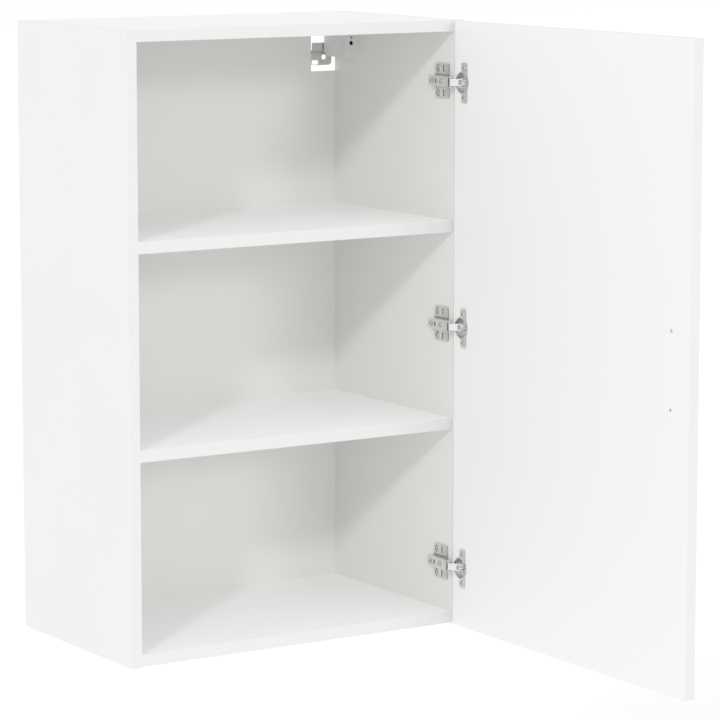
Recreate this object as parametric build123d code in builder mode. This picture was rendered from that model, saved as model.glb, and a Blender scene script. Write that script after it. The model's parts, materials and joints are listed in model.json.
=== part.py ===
"""Wall-hung locker cabinet with one overlay door on three concealed cup hinges.

Frame: the origin is the centre of the rear face, on the wall plane. +X is to the right and +Z is up,
as seen from the front, and +Y points into the wall. The door stands open at 90 degrees.
"""

import os
from math import atan2, degrees, hypot, pi

from build123d import *

# Cabinet
WIDTH = 500.0
HEIGHT = 800.0
SIDE_DEPTH = 290.0
BOARD = 15.0
BACK_THICKNESS = 3.0
SHELF_COUNT = 2
BOTTOM_INSET = 1.0       # the bottom panel sits this far above the lower ends of the side panels
EDGE_BREAK = 0.4         # chamfer left by trimming the edge banding
BACK_INSET = 1.0         # the back panel is this much smaller than the cabinet on each side

# Door
DOOR_INSET = 1.0         # reveal between the door and the cabinet outline, on each side
DOOR_GAP = 2.0           # between the closed door and the cabinet front
HANDLE_HOLE_RADIUS = 2.5
HANDLE_PITCH = 96.0
HANDLE_FROM_FREE_EDGE = 36.0

# Board joints: cam locks, cam bolts and dowels
CAM_RADIUS = 7.5
CAM_DEPTH = 12.0
CAM_FROM_END = 24.0
CAM_BORE_RADIUS = 4.0
CAM_FROM_EDGE = 40.0
BOLT_RADIUS = 2.5
BOLT_HEAD_RADIUS = 3.5
BOLT_HEAD_LENGTH = 3.0
BOLT_THREAD_RADIUS = 3.0
BOLT_IN_SIDE = 11.0
CAM_SLOT_WIDTH = 1.2
CAM_SLOT_DEPTH = 1.5
DOWEL_RADIUS = 4.0
DOWEL_LENGTH = 30.0
DOWEL_IN_SIDE = 10.0
DOWEL_FROM_EDGE = 75.0

# Back panel nails
NAIL_RADIUS = 0.8
NAIL_HEAD_RADIUS = 2.5
NAIL_HEAD_THICKNESS = 0.8
NAIL_LENGTH = 20.0
NAIL_ROWS = 8
NAIL_COLUMNS = 4

# Hinges, in plan: u runs from the right side panel's inner face into the cabinet,
# and v runs forward from the cabinet's front plane. In the door, h runs along the
# inner face from the hinge edge, and d runs into the thickness.
HINGE_END_DISTANCE = 80.0
OPEN_FACE_U = 5.0        # inner face of the open door
OPEN_EDGE_V = 9.5        # hinge edge of the open door
CUP_CENTRE_H = 17.2
CUP_RADIUS = 14.0
CUP_DEPTH = 12.0
CUP_WALL = 0.8
FLANGE_THICKNESS = 1.0
FLANGE_CORNER = 3.0
RIM_WIDTH = 0.8
RIM_THICKNESS = 0.3
FLANGE_WIDTH = 12.8
FLANGE_HEIGHT = 52.0
FLANGE_OFFSET = 5.4      # flange and screw line beyond the cup centre, away from the hinge edge
CUP_SCREW_PITCH = 38.0
INNER_CUP_PIVOT = (6.56, 3.25)     # h, d
OUTER_CUP_PIVOT = (11.7, 2.98)     # h, d
OUTER_ARM_PIVOT = (11.75, 9.45)    # u, v
INNER_ARM_PIVOT_U = 8.16
LINK_CRANK = (5.75, -1.75)         # h, d of the bend that lifts the inner link over the cup rim
PIN_RADIUS = 1.25
PIN_CLEARANCE = 0.05
OPEN_PIVOT_CLEARANCE = 3.0       # radial room round the outer link's cup studs

# Heights either side of a hinge's centre line, from the middle outwards
INNER_LINK_HALF = 2.0
LUG_FROM, LUG_TO = 2.2, 3.2
OUTER_LINK_FROM, OUTER_LINK_TO = 3.5, 4.5
EAR_FROM, EAR_TO = 4.8, 5.5
ARM_HALF = 6.9
SHEET = 1.0

# Links and lugs, in plan
INNER_EYE = 2.1
OUTER_EYE = 2.1
LINK_HALF = 0.9
CHEEK_INNER = 1.0        # from the outer link's centre line to the inner edge of its cheeks
WEB_THICKNESS = 0.85
WEB_REACH = 0.77         # part of the outer link's length that its web covers
LUG_HALF = 2.2
EAR_HALF = 5.5
LUG_TOP_D = 0.4          # the lugs stop this far below the door's inner face

# Mounting plate and arm
PLATE_THICKNESS = 2.0
PLATE_HEIGHT = 46.0
PLATE_CORNER = 3.0
PLATE_FRONT_V = -8.9
PLATE_DEPTH = 31.3
PLATE_SCREW_PITCH = 32.0
PLATE_SCREW_V = -33.3
PLATE_SLOT_V = -20.3
PLATE_SLOT_LENGTH = 10.0
RIB_HALF = 5.2
RIB_CORNER = 2.0
RIB_TOP_U = 8.6
RIB_REAR_V = -41.0
RIB_FRONT_V = -9.8
ARM_TOP_U = 11.0
ARM_FOOT_U = 2.6
ARM_REAR_V = -43.0
ARM_BEND_V = -9.0
NOSE_RADIUS = 2.5
ROOF_END_V = 7.0         # the arm's top ends here and only its cheeks go on to the nose
FIXING_SCREW_V = -35.3
FIXING_SLOT_LENGTH = 9.0
ADJUSTING_SCREW_V = -13.4
ADJUSTING_SLOT_LENGTH = 6.0
ARM_SLOT_V = -26.0
ARM_SLOT_LENGTH = 7.0
ARM_SLOT_WIDTH = 3.0

# Screws of the hinges
PLATE_SCREW_RADIUS = 1.75
PLATE_SCREW_HEAD = 3.4
PLATE_SCREW_LENGTH = 13.0
CUP_SCREW_RADIUS = 1.75
CUP_SCREW_HEAD = 3.2
CUP_SCREW_LENGTH = 12.0
ARM_SCREW_RADIUS = 2.0
ARM_SCREW_HEAD = 3.2
ARM_SCREW_PLAY = 0.4     # added to the width of the arm's screw slots
SCREW_HEAD_HEIGHT = 1.6
SCREW_HEAD_TAPER = 12
RECESS_DEPTH = 1.0
RECESS_LENGTH = 4.2
RECESS_WIDTH = 1.1

# Wall hangers
NOTCH_WIDTH = 38.0
NOTCH_HEIGHT = 66.0
HANGER_WIDTH = 20.0
HANGER_LENGTH = 54.0
HANGER_HEIGHT = 45.0
HANGER_WALL = 2.0
HANGER_FROM_BACK = 4.5
HANGER_NOSE = 16.0       # solid front end, which carries the adjusting screws
HANGER_CORNERS = (6.0, 8.0)      # depth and height cut off the lower corners
HOOK_THICKNESS = 3.0
HOOK_HEIGHT = 7.0
HOOK_FORWARD = 30.0
HOOK_NOSE_DROP = 8.0
HOOK_NOSE_REAR = 0.6     # from the wall to the hook
HOOK_LIP_GAP = 0.4       # between the hook's nose and the wall plate's lip
SPIGOT_RADIUS = 5.0
SPIGOT_LENGTH = 10.0
SPIGOT_PITCH = 32.0
SPIGOT_FROM_REAR = 12.0
SPIGOT_DROP = 30.0       # below the top panel
LOCKING_SCREW = (18.0, 1.7)      # drop below the top panel, radius
HEIGHT_SCREW = (25.5, 3.4)
ADJUSTER_LENGTH = 11.0
ADJUSTER_SUNK = 3.0
WALL_PLATE_WIDTH = 33.0
WALL_PLATE_HEIGHT = 31.0
WALL_PLATE_FROM_SIDE = 4.5
WALL_PLATE_BOTTOM = 327.0
WALL_PLATE_THICKNESS = 2.0
WALL_PLATE_LIP = 10.0
WALL_PLATE_JOG = 4.0
WALL_PLATE_BEND = 2.0    # height over which the plate steps forward to its lip
WALL_PLATE_CORNER = 5.0
WALL_SCREW_X = 218.0
WALL_SCREW_Z = 338.0
WALL_HOLE_RADIUS = 3.5
WALL_SLOT = (14.0, 7.0)          # inwards and down from the round hole
WALL_SLOT_SIZE = (11.0, 6.0)

# Worked out from the above
HALF_WIDTH = WIDTH / 2
HALF_HEIGHT = HEIGHT / 2
INNER_HALF_WIDTH = HALF_WIDTH - BOARD
INNER_WIDTH = 2 * INNER_HALF_WIDTH
BOARD_REAR = -BACK_THICKNESS
FRONT = BOARD_REAR - SIDE_DEPTH
BOARD_MIDDLE = (BOARD_REAR + FRONT) / 2
DOOR_WIDTH = WIDTH - 2 * DOOR_INSET
DOOR_HEIGHT = HEIGHT - 2 * DOOR_INSET
COMPARTMENT = (HEIGHT - (SHELF_COUNT + 2) * BOARD) / (SHELF_COUNT + 1)
OUTER_HINGE_Z = HALF_HEIGHT - HINGE_END_DISTANCE
HINGES = {"top": OUTER_HINGE_Z, "middle": 0.0, "bottom": -OUTER_HINGE_Z}
CUP_INNER_RADIUS = CUP_RADIUS - CUP_WALL
CUP_FLOOR = CUP_DEPTH - CUP_WALL
SIDES = (-1, 1)
SIDE_NAMES = {"left": -1, "right": 1}
HANGER_TOP = HALF_HEIGHT - BOARD
HANGER_REAR = BOARD_REAR - HANGER_FROM_BACK
HANGER_FRONT = HANGER_REAR - HANGER_LENGTH
HANGER_BOTTOM = HANGER_TOP - HANGER_HEIGHT
SPIGOT_Z = HANGER_TOP - SPIGOT_DROP
SPIGOT_ROWS = [HANGER_REAR - SPIGOT_FROM_REAR - n * SPIGOT_PITCH for n in range(2)]
LIP_TOP = WALL_PLATE_BOTTOM + WALL_PLATE_HEIGHT
LIP_FRONT = -(WALL_PLATE_JOG + WALL_PLATE_THICKNESS)

os.makedirs("parts", exist_ok=True)
written = []


def save(part, label):
    """Label one finished piece and write it to its own file."""
    part.label = label
    export_step(part, f"parts/{label}.step")
    written.append(label)


def cabinet_point(u, v):
    """Plan position of a point given from the side panel's inner face and the front plane."""
    return (INNER_HALF_WIDTH - u, FRONT - v)


def open_door_point(h, d):
    """Plan position of a point of the door as it stands open."""
    return cabinet_point(OPEN_FACE_U - d, OPEN_EDGE_V + h)


def closed_door_point(h, d):
    """Plan position of the same point of the door when it is closed."""
    return cabinet_point(DOOR_INSET - BOARD + h, DOOR_GAP + d)


def level_pivot(cup_pivot, arm_u):
    """Arm pivot that is equally far from a cup pivot with the door open and closed."""
    opened = Vector(*open_door_point(*cup_pivot))
    closed = Vector(*closed_door_point(*cup_pivot))
    middle = (opened + closed) / 2
    across = (closed - opened).rotate(Axis.Z, 90)
    arm_x = cabinet_point(arm_u, 0)[0]
    pivot = middle + across * ((arm_x - middle.X) / across.X)
    return (pivot.X, pivot.Y)


INNER_ARM = level_pivot(INNER_CUP_PIVOT, INNER_ARM_PIVOT_U)
OUTER_ARM = cabinet_point(*OUTER_ARM_PIVOT)
INNER_CUP = open_door_point(*INNER_CUP_PIVOT)
OUTER_CUP = open_door_point(*OUTER_CUP_PIVOT)
CRANK = open_door_point(*LINK_CRANK)


def slab(bottom, top):
    """Horizontal sketch plane and the height to extrude it by."""
    return Plane.XY.offset(bottom), top - bottom


def pin(centre, radius, spans):
    """Vertical pin, or several stacked pins, at one plan position."""
    with BuildPart() as result:
        for bottom, top in spans:
            plane, height = slab(bottom, top)
            with BuildSketch(plane):
                with Locations(centre):
                    Circle(radius)
            extrude(amount=height)
    return result.part


def both_sides(centre_z, near, far):
    """The two height spans that mirror each other about a hinge's centre line."""
    return [(centre_z + near, centre_z + far), (centre_z - far, centre_z - near)]


# --------------------------------------------------------------------------------------------
# Board joints
# --------------------------------------------------------------------------------------------
shelf_bottoms = [
    -HALF_HEIGHT + (n + 1) * (BOARD + COMPARTMENT) for n in range(SHELF_COUNT)
]
panel_bottoms = {
    "bottom_panel": -HALF_HEIGHT + BOTTOM_INSET,
    "lower_shelf": shelf_bottoms[0],
    "upper_shelf": shelf_bottoms[1],
    "top_panel": HALF_HEIGHT - BOARD,
}
cam_rows = (FRONT + CAM_FROM_EDGE, BOARD_REAR - CAM_FROM_EDGE)
dowel_rows = (FRONT + DOWEL_FROM_EDGE, BOARD_REAR - DOWEL_FROM_EDGE)
panel_levels = [bottom + BOARD / 2 for bottom in panel_bottoms.values()]


def along_x(start, end, radius, y, z):
    """Round bar along X from one position to another."""
    plane = Plane(origin=(start, y, z), x_dir=(0, 1, 0), z_dir=(1, 0, 0))
    with BuildSketch(plane) as section:
        Circle(radius)
    extrude(section.sketch, amount=end - start)


with BuildPart() as cam_locks:
    for bottom in panel_bottoms.values():
        for side in SIDES:
            for y in cam_rows:
                cam_x = side * (INNER_HALF_WIDTH - CAM_FROM_END)
                with BuildSketch(Plane.XY.offset(bottom)):
                    with Locations((cam_x, y)):
                        Circle(CAM_RADIUS)
                extrude(amount=CAM_DEPTH)
    for bottom in panel_bottoms.values():
        for side in SIDES:
            for y in cam_rows:
                cam_x = side * (INNER_HALF_WIDTH - CAM_FROM_END)
                with BuildSketch(Plane.XY.offset(bottom)):
                    with Locations((cam_x, y)):
                        SlotOverall(2 * BOLT_HEAD_RADIUS, CAM_SLOT_WIDTH)
                        SlotOverall(2 * BOLT_HEAD_RADIUS, CAM_SLOT_WIDTH, rotation=90)
                extrude(amount=CAM_SLOT_DEPTH, mode=Mode.SUBTRACT)
                plane = Plane(
                    origin=(cam_x, y, bottom + BOARD / 2), x_dir=(0, 1, 0), z_dir=(side, 0, 0)
                )
                with BuildSketch(plane.offset(-BOLT_HEAD_LENGTH)):
                    Circle(CAM_BORE_RADIUS)
                extrude(amount=CAM_RADIUS + BOLT_HEAD_LENGTH, mode=Mode.SUBTRACT)
save(cam_locks.part, "cam_locks")

with BuildPart() as cam_bolts:
    for z in panel_levels:
        for side in SIDES:
            for y in cam_rows:
                head = side * (INNER_HALF_WIDTH - CAM_FROM_END)
                neck = head + side * BOLT_HEAD_LENGTH
                face = side * INNER_HALF_WIDTH
                deep = face + side * BOLT_IN_SIDE
                along_x(head, neck, BOLT_HEAD_RADIUS, y, z)
                along_x(neck, face, BOLT_RADIUS, y, z)
                along_x(face, deep, BOLT_THREAD_RADIUS, y, z)
save(cam_bolts.part, "cam_bolts")

with BuildPart() as wooden_dowels:
    for z in panel_levels:
        for side in SIDES:
            for y in dowel_rows:
                deep = side * (INNER_HALF_WIDTH + DOWEL_IN_SIDE)
                along_x(deep - side * DOWEL_LENGTH, deep, DOWEL_RADIUS, y, z)
save(wooden_dowels.part, "wooden_dowels")

# Nail positions round the rim of the back panel and along the shelves
nail_side_x = HALF_WIDTH - BOARD / 2
nail_rim_z = HALF_HEIGHT - BOARD / 2
nail_pitch_z = (HEIGHT - 2 * NOTCH_HEIGHT - 2 * BOARD) / (NAIL_ROWS - 1)
nail_pitch_x = (INNER_WIDTH - 3 * NOTCH_WIDTH) / (NAIL_COLUMNS - 1)
nail_places = [
    (side * nail_side_x, (row - (NAIL_ROWS - 1) / 2) * nail_pitch_z)
    for side in SIDES
    for row in range(NAIL_ROWS)
]
nail_places += [
    ((column - (NAIL_COLUMNS - 1) / 2) * nail_pitch_x, z)
    for z in panel_levels
    for column in range(NAIL_COLUMNS)
]

with BuildPart() as back_panel_nails:
    with BuildSketch(Plane.XZ):
        with Locations(*nail_places):
            Circle(NAIL_HEAD_RADIUS)
    extrude(amount=NAIL_HEAD_THICKNESS)
    with BuildSketch(Plane.XZ.offset(NAIL_HEAD_THICKNESS)):
        with Locations(*nail_places):
            Circle(NAIL_RADIUS)
    extrude(amount=NAIL_LENGTH - NAIL_HEAD_THICKNESS)
save(back_panel_nails.part, "back_panel_nails")

# --------------------------------------------------------------------------------------------
# Hinges
# --------------------------------------------------------------------------------------------
def cross_recess(plane):
    """Cross-shaped driver recess cut into a screw head."""
    with BuildSketch(plane) as cross:
        SlotOverall(RECESS_LENGTH, RECESS_WIDTH)
        SlotOverall(RECESS_LENGTH, RECESS_WIDTH, rotation=90)
    extrude(cross.sketch, amount=-RECESS_DEPTH, mode=Mode.SUBTRACT)


def screw(plane, head_radius, radius, length):
    """Pan-head screw whose head stands on a plane and whose shank goes down into it."""
    with BuildSketch(plane) as head:
        Circle(head_radius)
    extrude(head.sketch, amount=SCREW_HEAD_HEIGHT, taper=SCREW_HEAD_TAPER)
    with BuildSketch(plane) as shank:
        Circle(radius)
    extrude(shank.sketch, amount=-length)
    cross_recess(plane.offset(SCREW_HEAD_HEIGHT))


def side_plane(u, v, z):
    """Plane facing away from the right side panel, at one point of a hinge."""
    x, y = cabinet_point(u, v)
    return Plane(origin=(x, y, z), x_dir=(0, -1, 0), z_dir=(-1, 0, 0))


def door_plane(h, z, lift=0.0):
    """Plane facing out of the open door's inner face."""
    x, y = open_door_point(h, -lift)
    return Plane(origin=(x, y, z), x_dir=(0, -1, 0), z_dir=(-1, 0, 0))


def mounting_plate(centre_z):
    """Cross-shaped plate on the side panel, with a raised rib that carries the arm."""
    wings_v = PLATE_FRONT_V - PLATE_DEPTH / 2
    rib_v = (RIB_REAR_V + RIB_FRONT_V) / 2
    rib_length = RIB_FRONT_V - RIB_REAR_V
    with BuildPart() as plate:
        with BuildSketch(side_plane(0, wings_v, centre_z)):
            RectangleRounded(PLATE_DEPTH, PLATE_HEIGHT, PLATE_CORNER)
        extrude(amount=PLATE_THICKNESS)
        with BuildSketch(side_plane(0, rib_v, centre_z)):
            RectangleRounded(rib_length, 2 * RIB_HALF, RIB_CORNER)
        extrude(amount=RIB_TOP_U)
        for offset in (-PLATE_SCREW_PITCH / 2, PLATE_SCREW_PITCH / 2):
            for v in (PLATE_SCREW_V, PLATE_SLOT_V):
                with BuildSketch(side_plane(0, v, centre_z + offset)):
                    SlotOverall(PLATE_SLOT_LENGTH, 2 * PLATE_SCREW_RADIUS, rotation=90)
                extrude(amount=PLATE_THICKNESS, mode=Mode.SUBTRACT)
        for v in (FIXING_SCREW_V, ADJUSTING_SCREW_V):
            with BuildSketch(side_plane(RIB_TOP_U, v, centre_z)):
                Circle(ARM_SCREW_RADIUS)
            extrude(amount=PLATE_THICKNESS - RIB_TOP_U, mode=Mode.SUBTRACT)
        with BuildSketch(side_plane(RIB_TOP_U, ARM_SLOT_V, centre_z)):
            SlotOverall(ARM_SLOT_LENGTH, ARM_SLOT_WIDTH, rotation=90)
        extrude(amount=PLATE_THICKNESS - RIB_TOP_U, mode=Mode.SUBTRACT)
    return plate.part


def hinge_arm(centre_z):
    """Channel-shaped steel arm over the rib, open towards the side panel and at its nose."""
    plane, height = slab(centre_z - ARM_HALF, centre_z + ARM_HALF)
    inner_plane, inner_height = slab(centre_z - ARM_HALF + SHEET, centre_z + ARM_HALF - SHEET)
    roof_u = ARM_TOP_U - SHEET
    outer_u, outer_v = OUTER_ARM_PIVOT
    roof_rise = (outer_u + NOSE_RADIUS - ARM_TOP_U) / (outer_v - ARM_BEND_V)
    roof_end_u = roof_u + roof_rise * (ROOF_END_V - ARM_BEND_V)
    beyond_u = outer_u + 2 * NOSE_RADIUS
    beyond_v = outer_v + 2 * NOSE_RADIUS
    pocket = [
        cabinet_point(-ARM_FOOT_U, ARM_REAR_V + SHEET),
        cabinet_point(roof_u, ARM_REAR_V + SHEET),
        cabinet_point(roof_u, ARM_BEND_V),
        cabinet_point(roof_end_u, ROOF_END_V),
        cabinet_point(beyond_u, ROOF_END_V),
        cabinet_point(beyond_u, beyond_v),
        cabinet_point(-ARM_FOOT_U, beyond_v),
    ]
    channel = [
        cabinet_point(ARM_FOOT_U, ARM_REAR_V),
        cabinet_point(ARM_TOP_U, ARM_REAR_V),
        cabinet_point(ARM_TOP_U, ARM_BEND_V),
        cabinet_point(ARM_FOOT_U, ARM_BEND_V),
    ]
    neck = [channel[3], channel[2], cabinet_point(ARM_TOP_U, ARM_BEND_V - 1)]
    with BuildPart() as arm:
        with BuildSketch(plane):
            Polygon(*channel, align=None)
        extrude(amount=height)
        with BuildSketch(plane):
            Polygon(*neck, align=None)
            with Locations(INNER_ARM, OUTER_ARM):
                Circle(NOSE_RADIUS)
            make_hull()
        extrude(amount=height)
        with BuildSketch(inner_plane):
            Polygon(*pocket, align=None)
        extrude(amount=inner_height, mode=Mode.SUBTRACT)
        with BuildSketch(plane):
            with Locations(INNER_ARM, OUTER_ARM):
                Circle(PIN_RADIUS)
        extrude(amount=height, mode=Mode.SUBTRACT)
        screw_slots = {FIXING_SCREW_V: FIXING_SLOT_LENGTH, ADJUSTING_SCREW_V: ADJUSTING_SLOT_LENGTH}
        for v, length in screw_slots.items():
            with BuildSketch(side_plane(ARM_TOP_U, v, centre_z)):
                SlotOverall(length, 2 * ARM_SCREW_RADIUS + ARM_SCREW_PLAY)
            extrude(amount=-SHEET, mode=Mode.SUBTRACT)
        with BuildSketch(side_plane(ARM_TOP_U, ARM_SLOT_V, centre_z)):
            SlotOverall(ARM_SLOT_LENGTH, ARM_SLOT_WIDTH, rotation=90)
        extrude(amount=-SHEET, mode=Mode.SUBTRACT)
    return arm.part


def link_outline(points, half_thickness, eye_radius, ends):
    """Plan outline of a link: bars between its points, with an eye at each end."""
    for start, end in zip(points, points[1:]):
        length = hypot(end[0] - start[0], end[1] - start[1])
        turn = degrees(atan2(end[1] - start[1], end[0] - start[0]))
        middle = ((start[0] + end[0]) / 2, (start[1] + end[1]) / 2)
        with Locations(middle):
            SlotCenterToCenter(length, 2 * half_thickness, rotation=turn)
    with Locations(*ends):
        Circle(eye_radius)


def inner_link(centre_z):
    """Cranked link between the arm and the near side of the cup."""
    plane, height = slab(centre_z - INNER_LINK_HALF, centre_z + INNER_LINK_HALF)
    with BuildPart() as link:
        with BuildSketch(plane):
            link_outline([INNER_ARM, CRANK, INNER_CUP], LINK_HALF, INNER_EYE, [INNER_ARM, INNER_CUP])
            with Locations(INNER_ARM, INNER_CUP):
                Circle(PIN_RADIUS + PIN_CLEARANCE, mode=Mode.SUBTRACT)
        extrude(amount=height)
    return link.part


def outer_link(centre_z):
    """Forked link with a web on its outer side, which is the neck seen when the door is open."""
    run = Vector(*OUTER_CUP) - Vector(*OUTER_ARM)
    outward = run.rotate(Axis.Z, -90).normalized()
    web_run = run * WEB_REACH
    web_middle = Vector(*OUTER_ARM) + web_run / 2 + outward * (OUTER_EYE - WEB_THICKNESS / 2)
    cheek_middle = Vector(*OUTER_ARM) + run / 2 + outward * ((OUTER_EYE - CHEEK_INNER) / 2)
    turn = degrees(atan2(run.Y, run.X))
    with BuildPart() as link:
        for bottom, top in both_sides(centre_z, OUTER_LINK_FROM, OUTER_LINK_TO):
            plane, height = slab(bottom, top)
            with BuildSketch(plane):
                with Locations(OUTER_ARM, OUTER_CUP):
                    Circle(OUTER_EYE)
                with Locations((cheek_middle.X, cheek_middle.Y)):
                    Rectangle(run.length, OUTER_EYE + CHEEK_INNER, rotation=turn)
                with Locations(OUTER_ARM):
                    Circle(PIN_RADIUS + PIN_CLEARANCE, mode=Mode.SUBTRACT)
                with Locations(OUTER_CUP):
                    Circle(PIN_RADIUS, mode=Mode.SUBTRACT)
            extrude(amount=height)
        plane, height = slab(centre_z - OUTER_LINK_TO, centre_z + OUTER_LINK_TO)
        with BuildSketch(plane):
            with Locations((web_middle.X, web_middle.Y)):
                Rectangle(web_run.length, WEB_THICKNESS, rotation=turn)
        extrude(amount=height)
    return link.part


def hinge_cup(centre_z):
    """Drawn steel cup in the door, with its screw flange and the lugs that carry the pivots."""
    face = door_plane(CUP_CENTRE_H, centre_z)
    flange_face = door_plane(CUP_CENTRE_H + FLANGE_OFFSET, centre_z)
    with BuildPart() as cup:
        with BuildSketch(face):
            Circle(CUP_RADIUS)
        extrude(amount=-CUP_DEPTH)
        with BuildSketch(flange_face):
            RectangleRounded(FLANGE_WIDTH, FLANGE_HEIGHT, FLANGE_CORNER)
        extrude(amount=FLANGE_THICKNESS)
        with BuildSketch(face):
            Circle(CUP_RADIUS + RIM_WIDTH)
        extrude(amount=RIM_THICKNESS)
        with BuildSketch(face.offset(FLANGE_THICKNESS)):
            Circle(CUP_INNER_RADIUS)
        extrude(amount=-(CUP_FLOOR + FLANGE_THICKNESS), mode=Mode.SUBTRACT)
        for offset in (-CUP_SCREW_PITCH / 2, CUP_SCREW_PITCH / 2):
            with BuildSketch(door_plane(CUP_CENTRE_H + FLANGE_OFFSET, centre_z + offset)):
                Circle(CUP_SCREW_RADIUS)
            extrude(amount=FLANGE_THICKNESS, mode=Mode.SUBTRACT)
        for bottom, top in both_sides(centre_z, LUG_FROM, LUG_TO):
            cup_lug(bottom, top, INNER_CUP_PIVOT, LUG_HALF, PIN_RADIUS)
        for bottom, top in both_sides(centre_z, EAR_FROM, EAR_TO):
            stud_room = PIN_RADIUS + OPEN_PIVOT_CLEARANCE
            cup_lug(bottom, top, OUTER_CUP_PIVOT, EAR_HALF, stud_room)
    return cup.part


def cup_lug(bottom, top, pivot, half_width, hole_radius):
    """Lug that stands on the cup's floor and has a hole at one pivot."""
    h, d = pivot
    lug_top = max(d - half_width, LUG_TOP_D)
    corners = [
        open_door_point(h - half_width, lug_top),
        open_door_point(h + half_width, lug_top),
        open_door_point(h + half_width, CUP_FLOOR + CUP_WALL / 2),
        open_door_point(h - half_width, CUP_FLOOR + CUP_WALL / 2),
    ]
    plane, height = slab(bottom, top)
    with BuildSketch(plane) as lug:
        Polygon(*corners, align=None)
        with Locations(open_door_point(h, d)):
            Circle(hole_radius, mode=Mode.SUBTRACT)
    extrude(lug.sketch, amount=height)


for name, centre_z in HINGES.items():
    save(mounting_plate(centre_z), f"hinge_mounting_plate_{name}")
    save(hinge_arm(centre_z), f"hinge_arm_{name}")
    save(inner_link(centre_z), f"hinge_inner_link_{name}")
    save(outer_link(centre_z), f"hinge_outer_link_{name}")
    save(hinge_cup(centre_z), f"hinge_cup_{name}")

with BuildPart() as arm_inner_pins:
    for centre_z in HINGES.values():
        add(pin(INNER_ARM, PIN_RADIUS, [(centre_z - ARM_HALF, centre_z + ARM_HALF)]))
save(arm_inner_pins.part, "hinge_arm_inner_pins")

with BuildPart() as arm_outer_pins:
    for centre_z in HINGES.values():
        add(pin(OUTER_ARM, PIN_RADIUS, [(centre_z - ARM_HALF, centre_z + ARM_HALF)]))
save(arm_outer_pins.part, "hinge_arm_outer_pins")

with BuildPart() as cup_inner_pins:
    for centre_z in HINGES.values():
        add(pin(INNER_CUP, PIN_RADIUS, [(centre_z - LUG_TO, centre_z + LUG_TO)]))
save(cup_inner_pins.part, "hinge_cup_inner_pins")

with BuildPart() as cup_outer_studs:
    for centre_z in HINGES.values():
        add(pin(OUTER_CUP, PIN_RADIUS, both_sides(centre_z, OUTER_LINK_FROM, EAR_TO)))
save(cup_outer_studs.part, "hinge_cup_outer_studs")

with BuildPart() as plate_screws:
    for centre_z in HINGES.values():
        for offset in (-PLATE_SCREW_PITCH / 2, PLATE_SCREW_PITCH / 2):
            plane = side_plane(PLATE_THICKNESS, PLATE_SCREW_V, centre_z + offset)
            screw(plane, PLATE_SCREW_HEAD, PLATE_SCREW_RADIUS, PLATE_SCREW_LENGTH)
save(plate_screws.part, "hinge_plate_screws")

with BuildPart() as arm_fixing_screws:
    for centre_z in HINGES.values():
        plane = side_plane(ARM_TOP_U, FIXING_SCREW_V, centre_z)
        screw(plane, ARM_SCREW_HEAD, ARM_SCREW_RADIUS, ARM_TOP_U - PLATE_THICKNESS)
save(arm_fixing_screws.part, "hinge_arm_fixing_screws")

with BuildPart() as arm_adjusting_screws:
    for centre_z in HINGES.values():
        plane = side_plane(ARM_TOP_U, ADJUSTING_SCREW_V, centre_z)
        screw(plane, ARM_SCREW_HEAD, ARM_SCREW_RADIUS, ARM_TOP_U - PLATE_THICKNESS)
save(arm_adjusting_screws.part, "hinge_arm_adjusting_screws")

with BuildPart() as cup_screws:
    for centre_z in HINGES.values():
        for offset in (-CUP_SCREW_PITCH / 2, CUP_SCREW_PITCH / 2):
            h = CUP_CENTRE_H + FLANGE_OFFSET
            plane = door_plane(h, centre_z + offset, FLANGE_THICKNESS)
            screw(plane, CUP_SCREW_HEAD, CUP_SCREW_RADIUS, CUP_SCREW_LENGTH)
save(cup_screws.part, "hinge_cup_screws")

# --------------------------------------------------------------------------------------------
# Wall hangers: a housing on each side panel, a hook through the back panel's notch,
# and a plate that is screwed to the wall
# --------------------------------------------------------------------------------------------
def hanger_face(side, z):
    """Front plane of one hanger, at one height on its middle line."""
    x = side * (INNER_HALF_WIDTH - HANGER_WIDTH / 2)
    return Plane(origin=(x, HANGER_FRONT, z), x_dir=(1, 0, 0), z_dir=(0, -1, 0))


def hook_outline():
    """Side view of the hook, lying over the top of the wall plate's lip."""
    hook_front = LIP_FRONT - HOOK_FORWARD
    nose_front = HOOK_LIP_GAP - WALL_PLATE_JOG
    Polygon(
        (-HOOK_NOSE_REAR, LIP_TOP - HOOK_NOSE_DROP),
        (-HOOK_NOSE_REAR, LIP_TOP + HOOK_HEIGHT),
        (hook_front, LIP_TOP + HOOK_HEIGHT),
        (hook_front, LIP_TOP),
        (nose_front, LIP_TOP),
        (nose_front, LIP_TOP - HOOK_NOSE_DROP),
        align=None,
    )


def hanger_hook(side):
    """Steel hook that reaches back through the notch."""
    x = side * (INNER_HALF_WIDTH - HANGER_WIDTH / 2)
    with BuildPart() as hook:
        with BuildSketch(Plane.YZ.offset(x - HOOK_THICKNESS / 2)):
            hook_outline()
        extrude(amount=HOOK_THICKNESS)
    return hook.part


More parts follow.
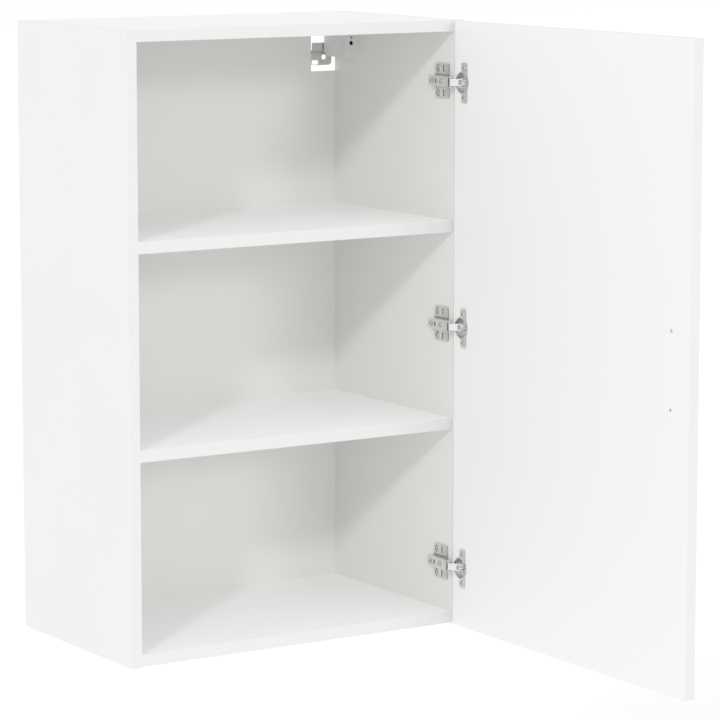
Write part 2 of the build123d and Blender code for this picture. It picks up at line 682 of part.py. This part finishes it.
def hanger_housing(side):
    """Moulded housing under the top panel, with two spigots pressed into the side panel."""
    x_middle = side * (INNER_HALF_WIDTH - HANGER_WIDTH / 2)
    cut_depth, cut_height = HANGER_CORNERS
    room_length = HANGER_LENGTH - HANGER_NOSE
    with BuildPart() as housing:
        with BuildSketch(Plane.YZ.offset(x_middle - HANGER_WIDTH / 2)):
            Polygon(
                (HANGER_REAR, HANGER_BOTTOM + cut_height),
                (HANGER_REAR, HANGER_TOP),
                (HANGER_FRONT, HANGER_TOP),
                (HANGER_FRONT, HANGER_BOTTOM + cut_height),
                (HANGER_FRONT + cut_depth, HANGER_BOTTOM),
                (HANGER_REAR - cut_depth, HANGER_BOTTOM),
                align=None,
            )
        extrude(amount=HANGER_WIDTH)
        with BuildSketch(Plane.XY.offset(HANGER_BOTTOM + HANGER_WALL)):
            with Locations((x_middle, HANGER_REAR - room_length / 2)):
                Rectangle(HANGER_WIDTH - 2 * HANGER_WALL, room_length)
        extrude(amount=HANGER_HEIGHT - 2 * HANGER_WALL, mode=Mode.SUBTRACT)
        for drop, radius in (LOCKING_SCREW, HEIGHT_SCREW):
            with BuildSketch(hanger_face(side, HANGER_TOP - drop)):
                Circle(radius)
            extrude(amount=-(ADJUSTER_SUNK + ADJUSTER_LENGTH), mode=Mode.SUBTRACT)
        for y in SPIGOT_ROWS:
            root = side * (INNER_HALF_WIDTH - HANGER_WALL)
            along_x(root, side * (INNER_HALF_WIDTH + SPIGOT_LENGTH), SPIGOT_RADIUS, y, SPIGOT_Z)
    return housing.part


def wall_plate(side):
    """Steel plate fixed to the wall, with a stepped lip at the top that carries the hook."""
    low = WALL_PLATE_BOTTOM
    step = LIP_TOP - WALL_PLATE_LIP
    near = side * (INNER_HALF_WIDTH - WALL_PLATE_FROM_SIDE)
    far = near - side * WALL_PLATE_WIDTH
    slot_in, slot_down = WALL_SLOT
    with BuildPart() as plate:
        with BuildSketch(Plane.YZ.offset(min(near, far))):
            Polygon(
                (0, low),
                (0, step - WALL_PLATE_BEND),
                (-WALL_PLATE_JOG, step),
                (-WALL_PLATE_JOG, LIP_TOP),
                (LIP_FRONT, LIP_TOP),
                (LIP_FRONT, step - WALL_PLATE_BEND / 2),
                (-WALL_PLATE_THICKNESS, step - WALL_PLATE_BEND * 3 / 2),
                (-WALL_PLATE_THICKNESS, low),
                align=None,
            )
        extrude(amount=WALL_PLATE_WIDTH)
        lower_edges = plate.edges().filter_by(Axis.Y).group_by(Axis.Z)[0]
        fillet(lower_edges, WALL_PLATE_CORNER)
        with BuildSketch(Plane.XZ):
            with Locations((side * WALL_SCREW_X, WALL_SCREW_Z)):
                Circle(WALL_HOLE_RADIUS)
            with Locations((side * (WALL_SCREW_X - slot_in), WALL_SCREW_Z - slot_down)):
                SlotOverall(*WALL_SLOT_SIZE)
        extrude(amount=WALL_PLATE_THICKNESS, mode=Mode.SUBTRACT)
    return plate.part


housings = {side: hanger_housing(side) for side in SIDES}
for name, side in SIDE_NAMES.items():
    save(housings[side], f"hanger_housing_{name}")
    save(hanger_hook(side), f"hanger_hook_{name}")
    save(wall_plate(side), f"wall_plate_{name}")

with BuildPart() as hanger_adjusters:
    for side in SIDES:
        for drop, radius in (LOCKING_SCREW, HEIGHT_SCREW):
            face = hanger_face(side, HANGER_TOP - drop).offset(-ADJUSTER_SUNK)
            with BuildSketch(face):
                Circle(radius)
            extrude(amount=-ADJUSTER_LENGTH)
            with BuildSketch(face):
                RegularPolygon(radius / 2, 6)
            extrude(amount=-ADJUSTER_SUNK, mode=Mode.SUBTRACT)
save(hanger_adjusters.part, "hanger_adjusting_screws")

# --------------------------------------------------------------------------------------------
# Boards, bored for everything that goes into them
# --------------------------------------------------------------------------------------------
def break_front_edges(board):
    """Small chamfer along the long edges of the banded front edge."""
    front_face = board.faces().sort_by(Axis.Y)[0]
    chamfer(front_face.edges(), EDGE_BREAK)


def side_panel(side):
    """Full-height side panel."""
    with BuildPart() as panel:
        with BuildSketch(Plane.XY.offset(-HALF_HEIGHT)):
            with Locations((side * (HALF_WIDTH - BOARD / 2), BOARD_MIDDLE)):
                Rectangle(BOARD, SIDE_DEPTH)
        extrude(amount=HEIGHT)
        break_front_edges(panel)
        for fitting in (cam_bolts, wooden_dowels, back_panel_nails):
            add(fitting.part, mode=Mode.SUBTRACT)
        add(housings[side], mode=Mode.SUBTRACT)
        if side > 0:
            add(plate_screws.part, mode=Mode.SUBTRACT)
    return panel.part


def cross_panel(bottom):
    """Top, bottom or shelf between the side panels, with its cam pockets in the underside."""
    with BuildPart() as panel:
        with BuildSketch(Plane.XY.offset(bottom)):
            with Locations((0, BOARD_MIDDLE)):
                Rectangle(INNER_WIDTH, SIDE_DEPTH)
        extrude(amount=BOARD)
        break_front_edges(panel)
        for side in SIDES:
            for y in cam_rows:
                with BuildSketch(Plane.XY.offset(bottom)):
                    with Locations((side * (INNER_HALF_WIDTH - CAM_FROM_END), y)):
                        Circle(CAM_RADIUS)
                extrude(amount=CAM_DEPTH, mode=Mode.SUBTRACT)
                plane = Plane(
                    origin=(side * INNER_HALF_WIDTH, y, bottom + BOARD / 2),
                    x_dir=(0, 1, 0),
                    z_dir=(side, 0, 0),
                )
                with BuildSketch(plane):
                    Circle(CAM_BORE_RADIUS)
                extrude(amount=-CAM_FROM_END, mode=Mode.SUBTRACT)
        for fitting in (wooden_dowels, back_panel_nails):
            add(fitting.part, mode=Mode.SUBTRACT)
    return panel.part


for name, side in SIDE_NAMES.items():
    save(side_panel(side), f"side_panel_{name}")
for name, bottom in panel_bottoms.items():
    save(cross_panel(bottom), name)

with BuildPart() as back_panel:
    with BuildSketch(Plane.XZ):
        Rectangle(WIDTH - 2 * BACK_INSET, HEIGHT - 2 * BACK_INSET)
        for side in SIDES:
            corner_x = side * (INNER_HALF_WIDTH + (BOARD - NOTCH_WIDTH) / 2)
            corner_z = HALF_HEIGHT - (NOTCH_HEIGHT + BOARD) / 2
            with Locations((corner_x, corner_z)):
                Rectangle(NOTCH_WIDTH + BOARD, NOTCH_HEIGHT + BOARD, mode=Mode.SUBTRACT)
    extrude(amount=BACK_THICKNESS)
    add(back_panel_nails.part, mode=Mode.SUBTRACT)
save(back_panel.part, "back_panel")

with BuildPart() as door_panel:
    inner_x, hinge_y = open_door_point(0, 0)
    outer_x, free_y = open_door_point(DOOR_WIDTH, BOARD)
    with BuildSketch(Plane.XY.offset(-DOOR_HEIGHT / 2)):
        with Locations(((inner_x + outer_x) / 2, (hinge_y + free_y) / 2)):
            Rectangle(BOARD, DOOR_WIDTH)
    extrude(amount=DOOR_HEIGHT)
    chamfer(door_panel.edges(), EDGE_BREAK)
    for centre_z in HINGES.values():
        with BuildSketch(door_plane(CUP_CENTRE_H, centre_z)):
            Circle(CUP_RADIUS)
        extrude(amount=-CUP_DEPTH, mode=Mode.SUBTRACT)
    add(cup_screws.part, mode=Mode.SUBTRACT)
    for offset in (-HANDLE_PITCH / 2, HANDLE_PITCH / 2):
        with BuildSketch(door_plane(DOOR_WIDTH - HANDLE_FROM_FREE_EDGE, offset)):
            Circle(HANDLE_HOLE_RADIUS)
        extrude(amount=-BOARD, mode=Mode.SUBTRACT)
save(door_panel.part, "door_panel")

# --------------------------------------------------------------------------------------------
# Angles of the hinge movement, printed for the record
# --------------------------------------------------------------------------------------------
def turn_between(pivot, start, end):
    """Signed angle about a pivot from one point to another, in degrees."""
    first = atan2(start[1] - pivot[1], start[0] - pivot[0])
    second = atan2(end[1] - pivot[1], end[0] - pivot[0])
    return degrees((second - first + pi) % (2 * pi) - pi)


inner_turn = turn_between(INNER_ARM, INNER_CUP, closed_door_point(*INNER_CUP_PIVOT))
outer_turn = turn_between(OUTER_ARM, OUTER_CUP, closed_door_point(*OUTER_CUP_PIVOT))
print(len(written), "pieces")
print("inner arm pivot", INNER_ARM, "outer arm pivot", OUTER_ARM)
print("inner cup pivot", INNER_CUP, "outer cup pivot", OUTER_CUP)
print("turn from open to closed: inner link", inner_turn, "outer link", outer_turn)
print("door relative to the inner link", -90 - inner_turn)
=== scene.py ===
"""Looks for the wall-hung locker cabinet: white melamine boards, nickel hinges and wall hangers.

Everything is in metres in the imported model's frame: the origin is the centre of the rear face, +X to the
right, +Y into the wall and +Z up, with the door standing open at 90 degrees.
"""

import json
import math

import bpy
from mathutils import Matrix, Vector


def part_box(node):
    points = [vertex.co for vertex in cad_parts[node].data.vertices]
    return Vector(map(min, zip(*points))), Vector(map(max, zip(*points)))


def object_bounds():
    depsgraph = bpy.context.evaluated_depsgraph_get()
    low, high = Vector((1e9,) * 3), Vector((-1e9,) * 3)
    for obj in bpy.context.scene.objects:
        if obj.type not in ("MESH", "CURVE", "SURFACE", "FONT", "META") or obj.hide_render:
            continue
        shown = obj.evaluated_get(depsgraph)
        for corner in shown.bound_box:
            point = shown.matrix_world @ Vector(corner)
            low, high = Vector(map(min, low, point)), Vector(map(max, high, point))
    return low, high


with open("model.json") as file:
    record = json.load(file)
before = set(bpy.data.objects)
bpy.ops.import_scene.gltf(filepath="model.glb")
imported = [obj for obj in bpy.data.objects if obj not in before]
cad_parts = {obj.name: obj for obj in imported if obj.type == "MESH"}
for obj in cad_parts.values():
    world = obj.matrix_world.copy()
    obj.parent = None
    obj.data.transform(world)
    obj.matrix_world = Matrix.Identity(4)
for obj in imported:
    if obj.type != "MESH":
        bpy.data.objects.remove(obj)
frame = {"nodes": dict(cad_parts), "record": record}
cad_low, cad_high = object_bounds()

# Camera, as it stood for the photograph: in front, to the left and above the top, on a long lens
CAMERA_PLACE = (-2.2837, -3.9898, 0.6153)
CAMERA_TURN = 32.705           # degrees to the right of straight at the wall
CAMERA_TILT = 8.413            # degrees below level
CAMERA_LENS = 171.76           # millimetres, like the sensor's width
SENSOR_WIDTH = 36.0

# Studio
FLOOR_DROP = 0.9               # the cabinet hangs this far above the floor
FLOOR_SIZE = 60.0
WORLD_STRENGTH = 1.0
DISPLAY_GAMMA = 1.55           # lifts the shadows, as in the photograph
SIDE_LIGHT = (-0.75, -0.66, 0.46)    # towards the light that rakes across the right side panel
SIDE_POWER = 0.85
SIDE_SPREAD = 5.0              # apparent size in degrees
FRONT_LIGHT = (0.12, -1.0, 0.27)     # towards the low front light that reaches the back panel
FRONT_POWER = 0.50
FRONT_SPREAD = 9.0

# Where a board or a pressing changes colour
HAIR = 0.0003                  # a position this far from a face still counts as on it
CABINET_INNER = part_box("side_panel_right")[0].x
DOOR_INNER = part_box("door_panel")[0].x
CABINET_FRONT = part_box("side_panel_right")[0].y
DOOR_FREE_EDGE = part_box("door_panel")[0].y
PLATE_FACE = CABINET_INNER - 0.0025  # just above the mounting plates' flat wings

# Tones
NOISE_MIDDLE = (0.3, 0.7)      # the part of a noise's range over which a colour changes
BOARD_CHANGE = 0.01            # share by which a board's tone drifts to either side
BOARD_WARMTH = 0.003
BANDING_TONE = 0.605
WALL_SHADE_TONE = (0.650, 0.659, 0.624)    # painted shade on the side panels' inward faces, darker and warmer than their outer faces
# painted light: the door's inward face is given a lighter tone than the rest of the door
DOOR_INNER_LIGHT_TONE = 0.755
BACK_TONES = ((0.68, 0.69, 0.648), (0.695, 0.705, 0.662))
BEECH_TONES = ((0.42, 0.27, 0.14), (0.62, 0.45, 0.27))
# painted light: the inside of the hinge cup, lighter than its plating
CUP_INSIDE_LIGHT_TONE = 0.78
SHADED_RIB_TONE = 0.02         # painted shade: the rib inside the arm, which shows only through its slots, painted near black

# Textures: repeats per metre, and for some also detail, roughness and stretch along X, Y and Z
PRESS_PEBBLES = 1400.0
PRESS_RIPPLE = (260.0, 3.0, 0.55)
BOARD_DRIFT = 6.0
BACK_PEBBLES = 900.0
BACK_DRIFT = 5.0
ROLLING_LINES = (900.0, 3.0, 0.6, (1.0, 0.12, 1.0))
PLATING_CLOUDS = 220.0
BEECH_GRAIN = (700.0, 4.0, 0.6, (0.08, 1.0, 1.0))
SPARK_PITS = 2200.0
PLASTIC_CLOUDS = 90.0
FLOOR_CLOUDS = 2.0

# Relief of the textures: depth in metres and strength
PRESS_RELIEF = (0.00004, 0.5)
BACK_RELIEF = (0.00004, 0.4)
ROLLED_RELIEF = (0.00002, 0.4)
BEECH_RELIEF = (0.0001, 0.5)
SPARK_RELIEF = (0.00003, 0.5)

# Roughness between the low and the high parts of a texture
PRESS_ROUGHNESS = (0.42, 0.56)
BACK_ROUGHNESS = (0.55, 0.66)
BEECH_ROUGHNESS = (0.5, 0.75)
SPARK_ROUGHNESS = (0.4, 0.55)
ROLLED_SHARES = (0.8, 1.25)    # as shares of the steel's own roughness

# Plated steel
CLOUDED = 0.9                  # the darker clouds' tone, as a share of the plating's
WORN = 1.25                    # a worn edge's tone, as a share of the plating's
WORN_LIMIT = 0.95
WORN_EDGE = (0.52, 0.60)       # pointiness at which the wear starts, and is complete
CREVICE_SHADE_SHARE = 0.22                  # painted shade: a crevice's tone, as a share of the plating's
CREVICE_SAMPLES = 8
CREVICE_REACH = 0.005
CREVICE_OPENNESS = (0.42, 0.9)       # of a full crevice, and of an open face


# ---------------------------------------------------------------------------------------------
# Node helpers
# ---------------------------------------------------------------------------------------------
class Shader:
    """A material under construction, with one short call for each kind of node."""

    def __init__(self, name):
        self.material = bpy.data.materials.new(name)
        self.material.use_nodes = True
        self.tree = self.material.node_tree
        self.tree.nodes.clear()
        self.output = self.tree.nodes.new("ShaderNodeOutputMaterial")
        self.surface = self.tree.nodes.new("ShaderNodeBsdfPrincipled")
        self.link(self.surface.outputs["BSDF"], self.output.inputs["Surface"])
        self.place = self.tree.nodes.new("ShaderNodeTexCoord").outputs["Object"]

    def link(self, start, end):
        self.tree.links.new(start, end)

    def set(self, **values):
        """Sets the surface's own sockets, with underscores for spaces in their names."""
        for name, value in values.items():
            self.surface.inputs[name.replace("_", " ")].default_value = value

    def cover(self, colour):
        """Gives the surface its colour."""
        self.link(colour, self.surface.inputs["Base Color"])

    def roughen(self, texture, low, high):
        """Makes the surface's roughness follow a texture."""
        self.link(self.spread(texture, low, high), self.surface.inputs["Roughness"])

    def bump(self, texture, depth, strength):
        """Makes the surface's relief follow a texture."""
        node = self.tree.nodes.new("ShaderNodeBump")
        node.inputs["Strength"].default_value = strength
        node.inputs["Distance"].default_value = depth
        self.link(texture, node.inputs["Height"])
        self.link(node.outputs["Normal"], self.surface.inputs["Normal"])

    def stretched(self, scale):
        """The object's coordinates, scaled separately along each axis."""
        node = self.tree.nodes.new("ShaderNodeMapping")
        node.inputs["Scale"].default_value = scale
        self.link(self.place, node.inputs["Vector"])
        return node.outputs["Vector"]

    def noise(self, scale, detail=2.0, roughness=0.5, stretch=None):
        """Soft noise from 0 to 1."""
        node = self.tree.nodes.new("ShaderNodeTexNoise")
        node.inputs["Scale"].default_value = scale
        node.inputs["Detail"].default_value = detail
        node.inputs["Roughness"].default_value = roughness
        self.link(self.stretched(stretch) if stretch else self.place, node.inputs["Vector"])
        return node.outputs["Fac"]

    def cells(self, scale):
        """Distance from the middle of the nearest cell of a random pattern."""
        node = self.tree.nodes.new("ShaderNodeTexVoronoi")
        node.inputs["Scale"].default_value = scale
        self.link(self.place, node.inputs["Vector"])
        return node.outputs["Distance"]

    def spread(self, value, low, high, start=0.0, end=1.0):
        """Maps a value from one range onto another."""
        node = self.tree.nodes.new("ShaderNodeMapRange")
        node.inputs["From Min"].default_value = start
        node.inputs["From Max"].default_value = end
        node.inputs["To Min"].default_value = low
        node.inputs["To Max"].default_value = high
        self.link(value, node.inputs["Value"])
        return node.outputs["Result"]

    def tint(self, texture, *colours):
        """Goes from one colour to another over the middle of a texture's range."""
        node = self.tree.nodes.new("ShaderNodeValToRGB")
        for element, position, colour in zip(node.color_ramp.elements, NOISE_MIDDLE, colours):
            element.position = position
            element.color = (*colour, 1.0)
        self.link(texture, node.inputs["Fac"])
        return node.outputs["Color"]

    def mix(self, factor, first, second):
        """Colour mix; first and second are colours or sockets, factor is a socket."""
        node = self.tree.nodes.new("ShaderNodeMix")
        node.data_type = "RGBA"
        self.link(factor, node.inputs["Factor"])
        for socket, value in ((node.inputs["A"], first), (node.inputs["B"], second)):
            if isinstance(value, tuple):
                socket.default_value = (*value, 1.0)
            else:
                self.link(value, socket)
        return node.outputs["Result"]

    def combine(self, first, second, operation="ADD"):
        """Arithmetic on a socket and either another socket or a number."""
        node = self.tree.nodes.new("ShaderNodeMath")
        node.operation = operation
        self.link(first, node.inputs[0])
        if isinstance(second, float):
            node.inputs[1].default_value = second
        else:
            self.link(second, node.inputs[1])
        return node.outputs["Value"]

    def within(self, axis, limit):
        """1 where the distance from the origin along one axis is under the limit, 0 beyond it."""
        split = self.tree.nodes.new("ShaderNodeSeparateXYZ")
        self.link(self.place, split.inputs["Vector"])
        distance = self.combine(split.outputs[axis], 0.0, "ABSOLUTE")
        return self.combine(distance, limit, "LESS_THAN")

    def edge(self):
        """Near 1 on convex edges and 0 on flat faces."""
        geometry = self.tree.nodes.new("ShaderNodeNewGeometry")
        return self.spread(geometry.outputs["Pointiness"], 0.0, 1.0, *WORN_EDGE)

    def crevice(self):
        """Mask for painted shade: near 0 in slots, seams and inside corners, and 1 on open faces."""
        node = self.tree.nodes.new("ShaderNodeAmbientOcclusion")
        node.samples = CREVICE_SAMPLES
        node.only_local = False
        node.inputs["Distance"].default_value = CREVICE_REACH
        return self.spread(node.outputs["AO"], 0.0, 1.0, *CREVICE_OPENNESS)


def grey(value, warmth=0.0):
    """Near-neutral colour, with a little less blue for a warmer tone."""
    return (value, value, value * (1.0 - warmth))


# ---------------------------------------------------------------------------------------------
# Materials
# ---------------------------------------------------------------------------------------------
def melamine(name, tone, front, split=None, inner=None):
    """White melamine-faced board: an even colour, a fine pebbled press texture and edge banding.

    The banding is slightly greyer, on the edge at the depth called front. An upright board may have
    another colour, inner, on the face that looks inwards, nearer to the middle than split: painted
    shade on the side panels, painted light on the door.
    """
    shader = Shader(name)
    pebble = shader.cells(PRESS_PEBBLES)
    ripple = shader.noise(*PRESS_RIPPLE)
    dark = grey(tone * (1.0 - BOARD_CHANGE), BOARD_WARMTH)
    pale = grey(tone * (1.0 + BOARD_CHANGE))
    face = shader.tint(shader.noise(BOARD_DRIFT), dark, pale)
    if inner:
        face = shader.mix(shader.within("X", split), face, inner)
    shader.cover(shader.mix(shader.within("Y", -front - HAIR), grey(BANDING_TONE), face))
    shader.roughen(ripple, *PRESS_ROUGHNESS)
    shader.set(Specular_IOR_Level=0.35)
    shader.bump(shader.combine(pebble, ripple), *PRESS_RELIEF)
    return shader.material


def hardboard():
    """Thin white-faced back board, a little greyer and more matt than the boards."""
    shader = Shader("white_back_board")
    drift = shader.noise(BACK_DRIFT)
    shader.cover(shader.tint(drift, *BACK_TONES))
    shader.roughen(drift, *BACK_ROUGHNESS)
    shader.set(Specular_IOR_Level=0.3)
    shader.bump(shader.cells(BACK_PEBBLES), *BACK_RELIEF)
    return shader.material


def nickel(name, tone, rough, split=None, inside=None, outside=None):
    """Nickel-plated pressed steel: fine rolling lines, brighter worn edges and painted shade darkening the
    crevices.

    A part may have another tone inside or outside split, a distance from the middle along X: painted shade
    on the plates' ribs, painted light inside the cup.
    """
    shader = Shader(name)
    lines = shader.noise(*ROLLING_LINES)
    plain = shader.tint(shader.noise(PLATING_CLOUDS), grey(tone * CLOUDED, 0.03), grey(tone, 0.02))
    worn = shader.mix(shader.edge(), plain, grey(min(tone * WORN, WORN_LIMIT), 0.01))
    # painted shade: crevices darkened towards a share of the plating's tone
    crevice_shaded = shader.mix(shader.crevice(), grey(tone * CREVICE_SHADE_SHARE), worn)
    if inside:
        crevice_shaded = shader.mix(shader.within("X", split), crevice_shaded, grey(inside))
    if outside:
        crevice_shaded = shader.mix(shader.within("X", split), grey(outside), crevice_shaded)
    shader.cover(crevice_shaded)
    shader.roughen(lines, *(rough * share for share in ROLLED_SHARES))
    shader.set(Metallic=1.0)
    shader.bump(lines, *ROLLED_RELIEF)
    return shader.material


def beech():
    """Raw beech dowel with short fluted grain."""
    shader = Shader("beech_dowel")
    grain = shader.noise(*BEECH_GRAIN)
    shader.cover(shader.tint(grain, *BEECH_TONES))
    shader.roughen(grain, *BEECH_ROUGHNESS)
    shader.bump(grain, *BEECH_RELIEF)
    return shader.material


def moulded_plastic():
    """Pale moulded plastic with a fine spark-eroded texture."""
    shader = Shader("white_plastic")
    spark = shader.noise(SPARK_PITS)
    shader.cover(shader.tint(shader.noise(PLASTIC_CLOUDS), grey(0.56, 0.02), grey(0.60, 0.01)))
    shader.roughen(spark, *SPARK_ROUGHNESS)
    shader.bump(spark, *SPARK_RELIEF)
    return shader.material


def paint_nodes():
    """Gives every CAD node its finish."""
    front = CABINET_FRONT
    wall, leaf = CABINET_INNER + HAIR, DOOR_INNER + HAIR
    # The board tones hold painted light: the top is lighter and the shelves much lighter, as if lit from
    # above.
    side = melamine("white_melamine_sides", tone=0.68, front=front, split=wall, inner=WALL_SHADE_TONE)
    door = melamine(
        "white_melamine_door", tone=0.64, front=DOOR_FREE_EDGE, split=leaf, inner=grey(DOOR_INNER_LIGHT_TONE)
    )
    shelf = melamine("white_melamine_shelves", tone=0.95, front=front)
    top = melamine("white_melamine_top", tone=0.74, front=front)
    back = hardboard()
    # Painted shade darkens every plated part's crevices, and the plates' ribs are painted near black as
    # shade.
    arm = nickel("hinge_nickel", tone=0.60, rough=0.28)
    cup = nickel("cup_nickel", tone=0.60, rough=0.30, split=leaf, outside=CUP_INSIDE_LIGHT_TONE)
    plate = nickel("plate_nickel", tone=0.58, rough=0.28, split=PLATE_FACE, inside=SHADED_RIB_TONE)
    steel = nickel("plated_screw_steel", tone=0.55, rough=0.3)
    zinc = nickel("zinc_plated_steel", tone=0.50, rough=0.34)
    blackened = nickel("blackened_steel", tone=0.05, rough=0.42)
    dowel, plastic = beech(), moulded_plastic()
    by_node = {
        "side_panel_left": side,
        "side_panel_right": side,
        "door_panel": door,
        "top_panel": top,
        "bottom_panel": shelf,
        "lower_shelf": shelf,
        "upper_shelf": shelf,
        "hanger_adjusting_screws": blackened,
        "hinge_mounting_plate_top": plate,
        "hinge_mounting_plate_middle": plate,
        "hinge_mounting_plate_bottom": plate,
    }
    by_slot = {
        "back_board": back,
        "dowel_wood": dowel,
        "joint_steel": zinc,
        "hinge_steel": arm,
        "cup_steel": cup,
        "pin_steel": steel,
        "screw_steel": steel,
        "hanger_shell": plastic,
        "hanger_steel": zinc,
    }
    slots = {part["node"]: part["material_slot"] for part in frame["record"]["subparts"]}
    for name, node in frame["nodes"].items():
        node.data.materials.clear()
        node.data.materials.append(by_node.get(name) or by_slot[slots[name]])


# ---------------------------------------------------------------------------------------------
# Studio
# ---------------------------------------------------------------------------------------------
def sun(name, towards, power, spread):
    """Distant soft light that shines from one direction; spread is its apparent size in degrees."""
    light = bpy.data.lights.new(name, "SUN")
    light.energy = power
    light.angle = math.radians(spread)
    lamp = bpy.data.objects.new(name, light)
    lamp.rotation_euler = Vector(towards).to_track_quat("Z", "Y").to_euler()
    bpy.context.scene.collection.objects.link(lamp)


def studio_floor():
    """Large pale floor below the hanging cabinet."""
    half = FLOOR_SIZE / 2
    level = cad_low.z - FLOOR_DROP
    mesh = bpy.data.meshes.new("studio_floor")
    corners = [(-half, -half, level), (half, -half, level), (half, half, level), (-half, half, level)]
    mesh.from_pydata(corners, [], [(0, 1, 2, 3)])
    floor = bpy.data.objects.new("studio_floor", mesh)
    bpy.context.scene.collection.objects.link(floor)
    shader = Shader("studio_floor")
    shader.cover(shader.tint(shader.noise(FLOOR_CLOUDS), grey(0.93), grey(0.95)))
    shader.set(Roughness=0.9, Specular_IOR_Level=0.1)
    mesh.materials.append(shader.material)


def studio_world():
    """Even white light from all sides."""
    world = bpy.data.worlds.new("studio")
    bpy.context.scene.world = world
    world.use_nodes = True
    background = world.node_tree.nodes["Background"]
    background.inputs["Color"].default_value = (1.0, 1.0, 1.0, 1.0)
    background.inputs["Strength"].default_value = WORLD_STRENGTH


def photo_camera():
    """Camera at the photograph's viewing angle."""
    data = bpy.data.cameras.new("photo_camera")
    data.lens = CAMERA_LENS
    data.sensor_width = SENSOR_WIDTH
    camera = bpy.data.objects.new("photo_camera", data)
    camera.location = CAMERA_PLACE
    camera.rotation_euler = (math.radians(90.0 - CAMERA_TILT), 0.0, math.radians(-CAMERA_TURN))
    bpy.context.scene.collection.objects.link(camera)
    bpy.context.scene.camera = camera


paint_nodes()
studio_floor()
studio_world()
sun("side_light", SIDE_LIGHT, SIDE_POWER, SIDE_SPREAD)
sun("front_light", FRONT_LIGHT, FRONT_POWER, FRONT_SPREAD)
photo_camera()
view_settings = bpy.context.scene.view_settings
view_settings.view_transform = "Standard"
view_settings.gamma = DISPLAY_GAMMA
